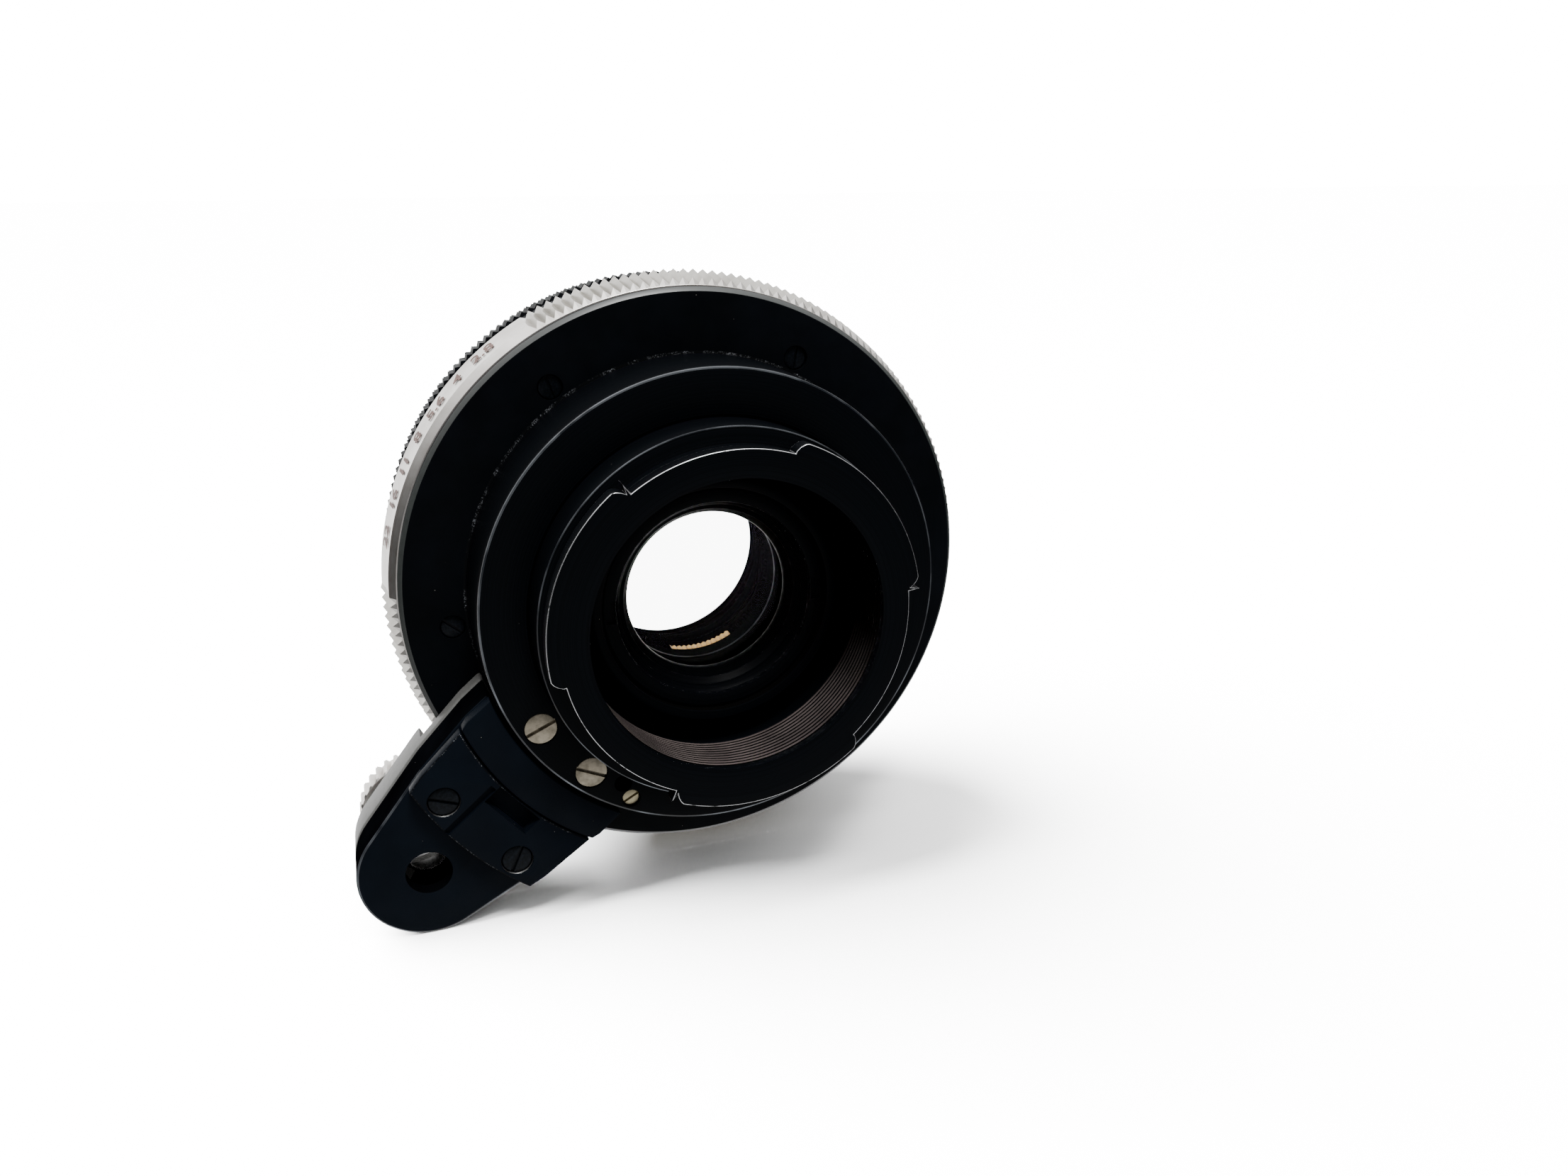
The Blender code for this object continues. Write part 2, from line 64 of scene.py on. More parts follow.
FLANGE_SCREWS = (85.5, 146.8, 206.8, 266.8, 326.8)
KNURL_TEETH = 192                 # round the aperture ring
SMOOTH_ZONE = (93.0, 151.0)       # bearings of the unknurled part that carries the stops
STOPS = (("2.8", 141.1), ("4", 134.7), ("5.6", 128.3), ("8", 122.1), ("11", 116.3), ("16", 109.9),
         ("22", 103.0))
INDEX_BEARING = 141.0
GRIP_RIBS = 216                   # round the focusing ring
DISTANCES = ("0.5", "0.6", "0.7", "0.8", "1", "1.2", "1.5", "2", "3", "5", "10", "20")
BLADES = 6
ARM_BEARING = 50.5
ARM_HOLE = 40.7                   # from the optical axis to the plunger's axis
ARM_HALF = 9.7                    # half width at the arm's root
ARM_WAIST = 8.9                   # half width where the cover plate ends
ARM_TIP = 7.1                     # radius of the round tip
BUTTON_TEETH = 34


# ---------------------------------------------------------------- places

def direction(bearing):
    """Unit vector from the optical axis at a bearing."""
    angle = math.radians(bearing)
    return Vector((-math.sin(angle), 0.0, -math.cos(angle)))


def spot(radius, bearing, station):
    """Point at a radius, bearing and station, in metres in the row's frame."""
    return AXIS + (direction(bearing) * radius + Vector((0.0, station, 0.0))) * MM


def arm_spot(along, across, station=0.0):
    """Point along and across the release arm."""
    side = direction(ARM_BEARING + 90.0)
    return AXIS + (direction(ARM_BEARING) * along + side * across + Vector((0.0, station, 0.0))) * MM


def where(point, centre=AXIS):
    """Radius, bearing and station of a point, from a centre."""
    offset = (point - centre) / MM
    bearing = math.degrees(math.atan2(-offset.x, -offset.z)) % 360.0
    return math.hypot(offset.x, offset.z), bearing, offset.y


# ---------------------------------------------------------------- modelling

def start_point(name):
    """One selected point at the origin, in edit mode, to draw a piece from."""
    bpy.ops.object.select_all(action="DESELECT")
    bpy.ops.mesh.primitive_plane_add(size=MM)
    piece = bpy.context.object
    piece.name = name
    piece.data.name = name
    bpy.ops.object.mode_set(mode="EDIT")
    bpy.ops.mesh.select_mode(type="VERT")
    bpy.ops.mesh.select_all(action="SELECT")
    bpy.ops.mesh.merge(type="CENTER")
    return piece


def draw(points):
    """Draw a closed line through points from the selected point."""
    bpy.ops.transform.translate(value=points[0])
    for first, second in zip(points, points[1:]):
        bpy.ops.mesh.extrude_vertices_move(TRANSFORM_OT_translate={"value": second - first})
    bpy.ops.mesh.select_all(action="SELECT")
    bpy.ops.mesh.edge_face_add()


def close_up(threshold=2e-6):
    """Merge doubles, turn the faces outwards and leave edit mode."""
    bpy.ops.mesh.select_all(action="SELECT")
    bpy.ops.mesh.remove_doubles(threshold=threshold)
    bpy.ops.mesh.delete_loose()
    bpy.ops.mesh.select_all(action="SELECT")
    bpy.ops.mesh.normals_make_consistent(inside=False)
    bpy.ops.object.mode_set(mode="OBJECT")


def smooth(piece, angle=32.0):
    """Shade a piece smooth up to an angle."""
    bpy.ops.object.select_all(action="DESELECT")
    piece.select_set(True)
    bpy.context.view_layer.objects.active = piece
    bpy.ops.object.shade_smooth_by_angle(angle=math.radians(angle))


def settle(piece, body, finish, nodes=()):
    """Give a piece its finish, its body and the CAD nodes it stands for."""
    if not piece.data.materials:
        piece.data.materials.append(finish)
    smooth(piece)
    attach(piece, body)
    if nodes:
        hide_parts(*nodes)
    return piece


def eased(profile, ease=0.08):
    """Profile with rounded corners; a corner's third value is its own rounding."""
    points = []
    for index, corner in enumerate(profile):
        size = corner[2] if len(corner) > 2 else ease
        here = Vector(corner[:2])
        if size == 0:
            points.append(here)
            continue
        before = Vector(profile[index - 1][:2]) - here
        after = Vector(profile[(index + 1) % len(profile)][:2]) - here
        first = here + before.normalized() * min(size, before.length * 0.45)
        last = here + after.normalized() * min(size, after.length * 0.45)
        points += [first, (first + last) / 4 + here / 2, last]
    return points


def lathe(name, profile, steps=STEPS, centre=None, ease=0.08):
    """Turned piece: its outline is drawn and then spun about its axis."""
    centre = centre or AXIS
    outline = eased(profile, ease)
    piece = start_point(name)
    turn = direction(180.0 / steps)
    points = [centre + (turn * p.x + Vector((0.0, p.y, 0.0))) * MM for p in outline]
    draw(points)
    bpy.ops.mesh.delete(type="ONLY_FACE")
    bpy.ops.mesh.select_all(action="SELECT")
    bpy.ops.mesh.spin(steps=steps, angle=math.tau, center=centre, axis=(0, 1, 0))
    close_up()
    return piece


def plate(name, outline, start, end, bevel=0.12, segments=2):
    """Flat piece: an outline is drawn, filled, pulled to its thickness and bevelled."""
    piece = start_point(name)
    draw([Vector((p.x, AXIS.y + start * MM, p.z)) for p in outline])
    bpy.ops.mesh.extrude_region_move(TRANSFORM_OT_translate={"value": (0, (end - start) * MM, 0)})
    close_up()
    if bevel:
        bevel_edges(piece, bevel, segments)
    return piece


def bevel_edges(piece, width, segments):
    """Bevel the sharp edges of a piece."""
    bevel = piece.modifiers.new("bevel", "BEVEL")
    bevel.width = width * MM
    bevel.segments = segments
    bevel.limit_method = "ANGLE"
    bevel.angle_limit = math.radians(35.0)
    bevel.harden_normals = False
    apply_modifiers(piece)


def apply_modifiers(piece):
    """Apply every modifier of a piece."""
    bpy.ops.object.select_all(action="DESELECT")
    piece.select_set(True)
    bpy.context.view_layer.objects.active = piece
    for modifier in list(piece.modifiers):
        bpy.ops.object.modifier_apply(modifier=modifier.name)


def cut(piece, *tools):
    """Cut tools out of a piece and throw the tools away."""
    for tool in tools:
        boolean = piece.modifiers.new("cut", "BOOLEAN")
        boolean.object = tool
        boolean.operation = "DIFFERENCE"
        boolean.solver = "EXACT"
    apply_modifiers(piece)
    for tool in tools:
        bpy.data.objects.remove(tool, do_unlink=True)
    return piece


def rod(centre, radius, start, end, steps=48):
    """Plain cylinder along the optical axis, for cutting holes."""
    profile = [(0, start, 0), (radius, start, 0), (radius, end, 0), (0, end, 0)]
    return lathe("tool", profile, steps, centre)


def bar(middle, size, bearing=0.0):
    """Plain box for cutting slots, turned about the optical axis."""
    bpy.ops.object.select_all(action="DESELECT")
    bpy.ops.mesh.primitive_cube_add(size=1.0, location=middle, rotation=(0, math.radians(bearing), 0))
    piece = bpy.context.object
    piece.scale = Vector(size) * MM
    bpy.ops.object.transform_apply(location=True, rotation=True, scale=True)
    return piece


def open_mesh(piece, kind="VERT"):
    """Enter edit mode with nothing selected, to pick points, edges or faces."""
    bpy.ops.object.select_all(action="DESELECT")
    bpy.context.view_layer.objects.active = piece
    piece.select_set(True)
    bpy.ops.object.mode_set(mode="EDIT")
    bpy.ops.mesh.select_mode(type=kind)
    bpy.ops.mesh.select_all(action="DESELECT")
    return bmesh.from_edit_mesh(piece.data)


def pick(piece, chosen, centre=AXIS):
    """Enter edit mode with the points selected whose radius, bearing and station are chosen."""
    work = open_mesh(piece)
    for vert in work.verts:
        vert.select_set(chosen(*where(vert.co, centre)))
    work.select_flush_mode()
    bmesh.update_edit_mesh(piece.data)


def scale_radius(factor, centre=AXIS):
    """Scale the selected points towards an axis and leave edit mode."""
    bpy.ops.transform.resize(value=(factor, 1.0, factor), center_override=centre)
    bpy.ops.object.mode_set(mode="OBJECT")


def reclose(piece):
    """Merge doubles and turn the faces outwards again after points have moved."""
    open_mesh(piece)
    close_up()


def paint(piece, finish, chosen):
    """Give the faces whose middle is chosen by radius, bearing and station another finish."""
    piece.data.materials.append(finish)
    index = len(piece.data.materials) - 1
    for face in piece.data.polygons:
        if chosen(*where(face.center)):
            face.material_index = index


def write(name, text, height, radius, bearing, station, body, finish, taper=0.0):
    """Generic numeral, wrapped onto a ring with its top towards the front; a taper widens the ring."""
    bpy.ops.object.select_all(action="DESELECT")
    bpy.ops.object.text_add()
    piece = bpy.context.object
    piece.name = name
    piece.data.body = text
    piece.data.size = height * 1.4
    piece.data.align_x = "CENTER"
    piece.data.align_y = "BOTTOM_BASELINE"
    piece.data.extrude = 0.015
    piece.data.offset = 0.045
    piece.data.resolution_u = 4
    bpy.ops.object.convert(target="MESH")
    piece = bpy.context.object
    margin = 1.1                  # from the station to the numeral's foot
    for vert in piece.data.vertices:
        across, up, out = vert.co
        vert.co = spot(radius + taper * (up + margin) + out, bearing + math.degrees(across / radius),
                       station + margin + up)
    bpy.ops.object.mode_set(mode="EDIT")
    close_up(1e-6)
    piece.data.materials.clear()
    return settle(piece, body, finish)


# ---------------------------------------------------------------- finishes

def tone(hex_colour):
    """Linear colour from an sRGB hex colour."""
    channels = [int(hex_colour[i:i + 2], 16) / 255 for i in (1, 3, 5)]
    return (*[c / 12.92 if c <= 0.04045 else ((c + 0.055) / 1.055) ** 2.4 for c in channels], 1.0)


def per_mm(size):
    """Texture scale for a pattern whose features are this many millimetres across."""
    return 1.0 / (size * MM)


def add(tree, kind, values=None, links=None, **settings):
    """Shader node with its settings, its values and what feeds it."""
    made = tree.nodes.new(kind)
    for name, value in settings.items():
        setattr(made, name, value)
    for socket, value in (values or {}).items():
        made.inputs[socket].default_value = value
    for socket, source in (links or {}).items():
        tree.links.new(source, made.inputs[socket])
    return made


def new_finish(name, colour, metallic, roughness, specular=0.5):
    """Material with a plain Principled shader, ready for its patterns."""
    material = bpy.data.materials.new(name)
    material.use_nodes = True
    tree = material.node_tree
    shader = tree.nodes["Principled BSDF"]
    shader.inputs["Base Color"].default_value = tone(colour)
    shader.inputs["Metallic"].default_value = metallic
    shader.inputs["Roughness"].default_value = roughness
    shader.inputs["Specular IOR Level"].default_value = specular
    return material, tree, shader


def object_place(tree):
    """Object coordinates."""
    return add(tree, "ShaderNodeTexCoord").outputs["Object"]


def turned_place(tree):
    """Radius and station without the bearing, so that a pattern runs round like a lathe's cut."""
    offset = add(tree, "ShaderNodeVectorMath", {1: (AXIS.x, 0.0, AXIS.z)}, {0: object_place(tree)},
                 operation="SUBTRACT")
    parts = add(tree, "ShaderNodeSeparateXYZ", links={0: offset.outputs[0]})
    across = add(tree, "ShaderNodeCombineXYZ", links={"X": parts.outputs["X"], "Y": parts.outputs["Z"]})
    radius = add(tree, "ShaderNodeVectorMath", links={0: across.outputs[0]}, operation="LENGTH")
    return add(tree, "ShaderNodeCombineXYZ",
               links={"X": radius.outputs["Value"], "Y": parts.outputs["Y"]}).outputs[0]


def ramp(tree, source, low, high, first=0.0, last=1.0):
    """Map a value from one range to another, clamped."""
    return add(tree, "ShaderNodeMapRange", {1: low, 2: high, 3: first, 4: last}, {0: source}).outputs[0]


def blend(tree, factor, first, second):
    """Mix two colours; each is a hex colour or a socket."""
    made = add(tree, "ShaderNodeMix", links={0: factor}, data_type="RGBA")
    for socket, colour in ((6, first), (7, second)):
        if isinstance(colour, str):
            made.inputs[socket].default_value = tone(colour)
        else:
            tree.links.new(colour, made.inputs[socket])
    return made.outputs[2]


def noise(tree, place, size, detail=3.0, rough=0.55):
    """Noise whose features are a size in millimetres across."""
    return add(tree, "ShaderNodeTexNoise", {"Scale": per_mm(size), "Detail": detail, "Roughness": rough},
               {"Vector": place}).outputs["Fac"]


def bump(tree, shader, height, strength, distance):
    """Feed a height in millimetres to the shader's normal."""
    made = add(tree, "ShaderNodeBump", {"Strength": strength, "Distance": distance * MM},
               {"Height": height})
    tree.links.new(made.outputs["Normal"], shader.inputs["Normal"])


def specks(tree, place, spacing, size, share):
    """Dust: one small dot in some of the cells of a grid of scattered points."""
    cells = add(tree, "ShaderNodeTexVoronoi", {"Scale": per_mm(spacing)}, {"Vector": place})
    dot = ramp(tree, cells.outputs["Distance"], size / spacing, 0.4 * size / spacing)
    colour = add(tree, "ShaderNodeSeparateColor", links={0: cells.outputs["Color"]})
    chosen = ramp(tree, colour.outputs[0], 1.0 - share, 1.0 - share + 0.02)
    return add(tree, "ShaderNodeMath", links={0: dot, 1: chosen}, operation="MULTIPLY").outputs[0]


def black_anodised(name="black_anodised_aluminium", base="#030406", worn="#06080c", dust=0.10,
                   specular=0.03):
    """Aluminium, bead blasted and anodised black: satin, with a fine grain and a little dust."""
    material, tree, shader = new_finish(name, base, 0.0, 0.5, specular)
    place = object_place(tree)
    cloud = ramp(tree, noise(tree, place, 6.0, 4.0), 0.35, 0.7)
    dirt = specks(tree, place, 1.3, 0.045, dust)
    tree.links.new(blend(tree, dirt, blend(tree, cloud, base, worn), "#7d7b76"),
                   shader.inputs["Base Color"])
    tree.links.new(ramp(tree, noise(tree, place, 2.5), 0.3, 0.7, 0.42, 0.58), shader.inputs["Roughness"])
    bump(tree, shader, noise(tree, place, 0.12, 2.0), 0.25, 0.01)
    return material


def turned_black():
    """The same anodised black on a lathe-cut surface, with fine rings that catch the light."""
    material, tree, shader = new_finish("turned_black_aluminium", "#050609", 0.0, 0.4, 0.03)
    lines = noise(tree, turned_place(tree), 0.11, 2.0)
    dirt = specks(tree, object_place(tree), 1.6, 0.05, 0.10)
    tree.links.new(blend(tree, dirt, blend(tree, ramp(tree, lines, 0.3, 0.8), "#020304", "#080a0e"),
                         "#84817b"), shader.inputs["Base Color"])
    bump(tree, shader, lines, 0.35, 0.02)
    return material


def dusty_line():
    """Grey dust caught in the corner between two black pieces, in a broken line."""
    material, tree, shader = new_finish("dust_in_corner", "#0a0b0d", 0.0, 0.6, 0.05)
    place = object_place(tree)
    clumps = ramp(tree, noise(tree, place, 1.6, 2.0), 0.45, 0.6)
    grains = ramp(tree, noise(tree, place, 0.16, 3.0, 0.7), 0.52, 0.62)
    amount = add(tree, "ShaderNodeMath", links={0: clumps, 1: grains}, operation="MULTIPLY").outputs[0]
    tree.links.new(blend(tree, amount, "#050608", "#5a5c60"), shader.inputs["Base Color"])
    return material


def throat_paint():
    """Matt black paint over machined ribs, coloured grey-brown towards the bottom as painted light on the
    lower side of the bore.
    """
    material, tree, shader = new_finish("black_paint_painted_lit_low", "#4a4342", 0.0, 0.6, 0.02)
    place = object_place(tree)
    height = add(tree, "ShaderNodeSeparateXYZ", links={0: place}).outputs["Z"]
    # painted light: the colour runs from black on the upper side to grey-brown on the lower side
    painted_lit_low_side = ramp(tree, height, AXIS.z - 3.0 * MM, AXIS.z - 13.5 * MM)
    patch = ramp(tree, noise(tree, place, 5.0, 4.0), 0.35, 0.65)
    tree.links.new(blend(tree, painted_lit_low_side, "#040404", blend(tree, patch, "#3f3938", "#544c4a")),
                   shader.inputs["Base Color"])
    bump(tree, shader, noise(tree, turned_place(tree), 0.1, 2.0), 0.4, 0.03)
    return material


def worn_steel():
    """Edge of the lugs, where the black has rubbed through to bright metal in a ragged line."""
    material, tree, shader = new_finish("worn_steel", "#b9babc", 1.0, 0.3)
    place = object_place(tree)
    bare = ramp(tree, noise(tree, place, 1.1, 5.0, 0.65), 0.36, 0.46)
    tree.links.new(blend(tree, bare, "#0d0f13", "#c4c5c7"), shader.inputs["Base Color"])
    tree.links.new(bare, shader.inputs["Metallic"])
    bump(tree, shader, noise(tree, place, 0.2, 3.0), 0.5, 0.02)
    return material


def rubbed_black():
    """Bevels that are only polished by handling: black with thin silvery rubs."""
    material, tree, shader = new_finish("rubbed_black", "#15181d", 0.0, 0.3)
    bare = ramp(tree, noise(tree, object_place(tree), 5.0, 3.0, 0.5), 0.42, 0.68)
    tree.links.new(blend(tree, bare, "#11151b", "#6f7378"), shader.inputs["Base Color"])
    tree.links.new(bare, shader.inputs["Metallic"])
    return material


def satin_aluminium(name="satin_anodised_aluminium", fresh="#d6d3cf", stained="#b9b4ae"):
    """Aluminium, turned and clear anodised: satin silver with rings from the lathe."""
    material, tree, shader = new_finish(name, fresh, 1.0, 0.32)
    lines = noise(tree, turned_place(tree), 0.07, 2.0)
    stain = ramp(tree, noise(tree, object_place(tree), 3.5, 4.0), 0.4, 0.75)
    tree.links.new(blend(tree, stain, fresh, stained), shader.inputs["Base Color"])
    tree.links.new(ramp(tree, lines, 0.2, 0.8, 0.26, 0.42), shader.inputs["Roughness"])
    bump(tree, shader, lines, 0.3, 0.01)
    return material


def enamel(name, colour, roughness=0.45, specular=0.4):
    """Paint filled into numerals or sprayed on a casting, with a little unevenness."""
    material, tree, shader = new_finish(name, colour, 0.0, roughness, specular)
    place = object_place(tree)
    patch = ramp(tree, noise(tree, place, 0.6, 3.0), 0.25, 0.8, 0.82, 1.1)
    dark = add(tree, "ShaderNodeVectorMath", {0: tone(colour)[:3]}, operation="SCALE")
    tree.links.new(patch, dark.inputs["Scale"])
    tree.links.new(dark.outputs[0], shader.inputs["Base Color"])
    bump(tree, shader, noise(tree, place, 0.15, 2.0), 0.2, 0.01)
    return material


def nickel():
    """Nickel-plated brass: warm grey, faced on a lathe and scratched by screwdrivers."""
    material, tree, shader = new_finish("nickel_plate", "#8f8778", 0.8, 0.4)
    place = object_place(tree)
    streaks = add(tree, "ShaderNodeMapping", {"Rotation": (0.0, 0.6, 0.0), "Scale": (1.0, 1.0, 9.0)},
                  {"Vector": place}).outputs[0]
    lines = noise(tree, streaks, 0.5, 4.0)
    stain = ramp(tree, noise(tree, place, 0.9, 3.0), 0.4, 0.7)
    tree.links.new(blend(tree, stain, "#968e7e", "#6c6658"), shader.inputs["Base Color"])
    tree.links.new(ramp(tree, lines, 0.3, 0.7, 0.28, 0.46), shader.inputs["Roughness"])
    bump(tree, shader, lines, 0.4, 0.01)
    return material


def plain_metal(name, colour, roughness, size=0.3):
    """Turned metal with a fine uneven polish."""
    material, tree, shader = new_finish(name, colour, 1.0, roughness)
    grain = noise(tree, object_place(tree), size, 3.0)
    tree.links.new(ramp(tree, grain, 0.2, 0.8, roughness * 0.8, roughness * 1.25),
                   shader.inputs["Roughness"])
    bump(tree, shader, grain, 0.2, 0.01)
    return material


def lamp_black():
    """Deep matt black inside the cells and on the glass edges, and as painted shade in the throat's grooves
    and round the plunger hole: no sheen even at a shallow angle.
    """
    material, tree, shader = new_finish("lamp_black_paint", "#050505", 0.0, 1.0, 0.0)
    shader.inputs["IOR"].default_value = 1.0
    return material


def black_steel():
    """Chemically blackened steel screws: dark, oily and glossier than the anodised parts."""
    material, tree, shader = new_finish("blackened_steel", "#0a0c10", 0.3, 0.3, 0.1)
    grain = noise(tree, object_place(tree), 0.25, 3.0)
    tree.links.new(blend(tree, ramp(tree, grain, 0.4, 0.8), "#06080b", "#12161c"),
                   shader.inputs["Base Color"])
    bump(tree, shader, grain, 0.3, 0.01)
    return material


def coated_glass():
    """Polished optical glass with a single-layer coating that kills most of its reflections."""
    material, tree, shader = new_finish("clear_coated_glass", "#ffffff", 0.0, 0.0, 0.25)
    shader.inputs["Transmission Weight"].default_value = 1.0
    shader.inputs["Specular Tint"].default_value = tone("#3b3448")
    shader.inputs["IOR"].default_value = 1.5
    return material


def make_finishes():
    """Every finish, by the name its pieces use."""
    return {
        "black": black_anodised(), "turned": turned_black(), "dusty": dusty_line(),
        # painted light: the arm's black is lighter and bluer than the disc's, a lit copy for the light its
        # lower parts catch from below
        "arm": black_anodised("black_arm_casting_painted_lit", "#070b11", "#0a0f16", 0.3),
        # painted shade: the arm's flanks get a darker copy of its black with no sheen
        "side": black_anodised("black_arm_flank_painted_shade", "#020203", "#050608", 0.6, 0.0),
        # painted highlight: the rear disc's rim is a grey enamel that stands for the light along its edge
        "rim": enamel("grey_rim_painted_highlight", "#2e3130", 0.38, 0.5), "throat": throat_paint(),
        "worn": worn_steel(), "rubbed": rubbed_black(), "silver": satin_aluminium(),
        "knurled": satin_aluminium("knurled_aluminium", "#a9a69f", "#8b877f"),
        "ochre": enamel("ochre_numeral_paint", "#4e2410"),
        "white": enamel("white_numeral_paint", "#e9e7e1"), "red": enamel("red_index_paint", "#b0281e"),
        "grey": enamel("grey_casting_enamel", "#555553", 0.42, 0.2),
        "nickel": nickel(), "pale": plain_metal("pale_worn_brass", "#a39b80", 0.4),
        "brass": plain_metal("turned_brass", "#a5803f", 0.35),
        "steel": plain_metal("bright_steel", "#b5b6b8", 0.22),
        "polished": plain_metal("worn_steel_end", "#e4e4e2", 0.45),
        "blued": plain_metal("blued_spring_steel", "#1c1e23", 0.4), "screw": black_steel(),
        "lip": plain_metal("burnished_lip", "#b9bab8", 0.3), "glass": coated_glass(),
        "edge": lamp_black(),
    }


# ---------------------------------------------------------------- mount end

def make_bayonet(looks):
    """Ring with three lugs pulled out of its rear band and worn bright along their edges."""
    ring = lathe("bayonet_ring", [
        (14.9, 0.0, 0.1), (16.4, 0.0, 0), (17.75, 0.0, 0), (17.75, 1.8, 0), (17.6, 1.9, 0),
        (17.6, 3.2), (19.35, 3.2, 0.12), (19.35, 7.5, 0), (19.35, 14.0), (16.2, 14.0), (16.2, 7.9, 0),
        (16.2, 0.9, 0), (14.95, 0.9, 0)], 360)

    def depth_in_lug(bearing):
        """Angle from the nearer end of the lug at a bearing; below zero outside the lugs."""
        return max(LUG_HALF - abs((bearing - lug + 180) % 360 - 180) for lug in LUG_BEARINGS)

    work = open_mesh(ring, "FACE")
    for face in work.faces:
        radius, bearing, station = where(face.calc_center_median())
        face.select_set(radius > 17.7 and 0.1 < station < 1.75 and depth_in_lug(bearing) > 0)
    bmesh.update_edit_mesh(ring.data)
    bpy.ops.mesh.extrude_region_shrink_fatten(TRANSFORM_OT_shrink_fatten={"value": 1.25 * MM})
    close_up()
    for back, radius in ((0.6, 17.98), (1.6, 18.5), (2.6, 18.82)):      # the ends of the lugs are ramps
        pick(ring, lambda r, b, s: r > 18.9 and s < 1.9 and back - 0.7 < depth_in_lug(b) < back + 0.3)
        scale_radius(radius / 19.0)
    work = open_mesh(ring, "EDGE")
    for edge in work.edges:
        radius, bearing, station = where((edge.verts[0].co + edge.verts[1].co) / 2)
        sharp = len(edge.link_faces) == 2 and edge.calc_face_angle(0) > math.radians(40)
        edge.select_set(sharp and radius > 17.7 and station < 1.85)
    bmesh.update_edit_mesh(ring.data)
    ring.data.materials.append(looks["turned"])
    ring.data.materials.append(looks["worn"])
    bpy.ops.mesh.bevel(offset=0.24 * MM, segments=3, material=1, clamp_overlap=True)
    close_up()
    settle(ring, "housing", looks["turned"], ["bayonet_mount"])
    paint(ring, looks["rubbed"], lambda r, b, s: 19.2 < r and 3.15 < s < 3.5)


def make_throat(looks):
    """Sleeve inside the bayonet, with fine ribs that keep stray light down."""
    ribs = []
    pitch = 6.3 / THROAT_RIBS
    for index in range(THROAT_RIBS):
        station = 1.0 + pitch * index
        crest = 14.86 + 0.4 * index / THROAT_RIBS
        valley = crest + 0.35
        ribs += [(valley, station, 0), (crest, station, 0), (crest, station + 0.5 * pitch, 0),
                 (valley, station + 0.5 * pitch, 0)]
    profile = ribs + [(15.6, 7.6, 0), (15.95, 7.6, 0), (15.95, 1.0, 0)]
    sleeve = lathe("throat_sleeve", profile, STEPS)
    settle(sleeve, "housing", looks["throat"], ["throat_baffle"])
    # painted shade: the groove faces between the ribs get the lamp black, and the crests keep the
    # grey-brown paint
    paint(sleeve, looks["edge"], lambda r, b, s: r > 14.95 + 0.4 * (s - 1.0) / 6.3)


def slotted_screw(name, node, centre, radius, face, depth, angle, finish, looks):
    """Flat screw with a bevelled rim and a sawn slot, in a recess with a burnished lip."""
    foot = face + depth
    screw = lathe(name, [(0, face, 0), (radius, face, 0.1), (radius, foot, 0), (0, foot, 0)], 64, centre)
    width = 0.16 * radius + 0.12
    middle = centre + Vector((0.0, face * MM, 0.0))
    cut(screw, bar(middle, (4 * radius, 0.9 * depth, width), angle))
    lip = lathe(f"{name}_lip", [(radius + 0.1, face + 0.1, 0), (radius + 0.17, face - 0.06, 0),
                                (radius + 0.24, face + 0.1, 0)], 48, centre)
    small = radius < 1.3
    settle(lip, "housing", looks["black" if small else "lip"])
    return settle(screw, "housing", looks[finish], [node])


def make_boss(looks):
    """Boss that carries the mount, with recesses for its screws."""
    boss = lathe("boss", [
        (19.6, 7.9, 0.1), (24.3, 7.9, 0.22), (24.3, 9.0, 0), (24.55, 16.4, 0.05), (19.6, 16.4)])
    screws = (("mount_screw_1", spot(22.0, 60.3, 0.0), 1.65, 7.98, 0.9, -24.0, "nickel", "nickel_screws"),
              ("mount_screw_2", spot(22.0, 40.7, 0.0), 1.65, 7.98, 0.9, 25.0, "nickel", "nickel_screws"),
              ("lock_screw", spot(22.9, 26.8, 0.0), 0.9, 8.2, 0.7, -28.0, "pale", "brass_parts"))
    tools = [rod(centre, radius + 0.09, 7.0, face + depth + 0.2)
             for _, centre, radius, face, depth, _, _, _ in screws]
    tools.append(rod(spot(21.6, 30.9, 0.0), 0.95, 7.0, 10.5))
    cut(boss, *tools)
    settle(boss, "housing", looks["turned"], ["mount_boss"])
    paint(boss, looks["rubbed"], lambda r, b, s: r > 24.05 and s < 8.15)
    for node, centre, radius, face, depth, angle, finish, slot in screws:
        slotted_screw(f"{node}_head", node, centre, radius, face, depth, angle, finish, looks)


def make_flange(looks):
    """Rear disc with its five recessed black screws."""
    disc = lathe("rear_disc", [
        (19.4, 16.7), (24.78, 16.7, 0), (30.75, 16.7, 0.05), (31.2, 17.1, 0.05), (31.2, 17.4, 0),
        (28.3, 17.4), (28.3, 18.2), (19.4, 18.2)])
    cut(disc, *[rod(spot(26.2, b, 0.0), 1.32, 16.0, 17.9) for b in FLANGE_SCREWS])
    settle(disc, "housing", looks["black"], ["rear_flange"])
    # painted highlight: the rim bevel is painted grey
    paint(disc, looks["rim"], lambda r, b, s: r > 30.75 and s < 17.1)
    paint(disc, looks["dusty"], lambda r, b, s: r < 24.78 and s < 16.72)
    for number, bearing in enumerate(FLANGE_SCREWS, 1):
        slotted_screw(f"flange_screw_{number}_head", f"flange_screw_{number}", spot(26.2, bearing, 0.0),
                      1.2, 17.0, 0.5, 10.0 + 31.0 * number, "screw", looks)


# ---------------------------------------------------------------- rings

def knurl(piece, teeth, low, high, factor, chosen=lambda radius, bearing: radius > 30.0):
    """Sink every second line of a ring between two stations to make straight teeth."""
    pitch = 180.0 / teeth

    def sunk(radius, bearing, station):
        line = round((bearing - pitch / 2) / pitch) % (2 * teeth)
        return low < station < high and line % 2 == 1 and chosen(radius, bearing)
    pick(piece, sunk)
    scale_radius(factor)


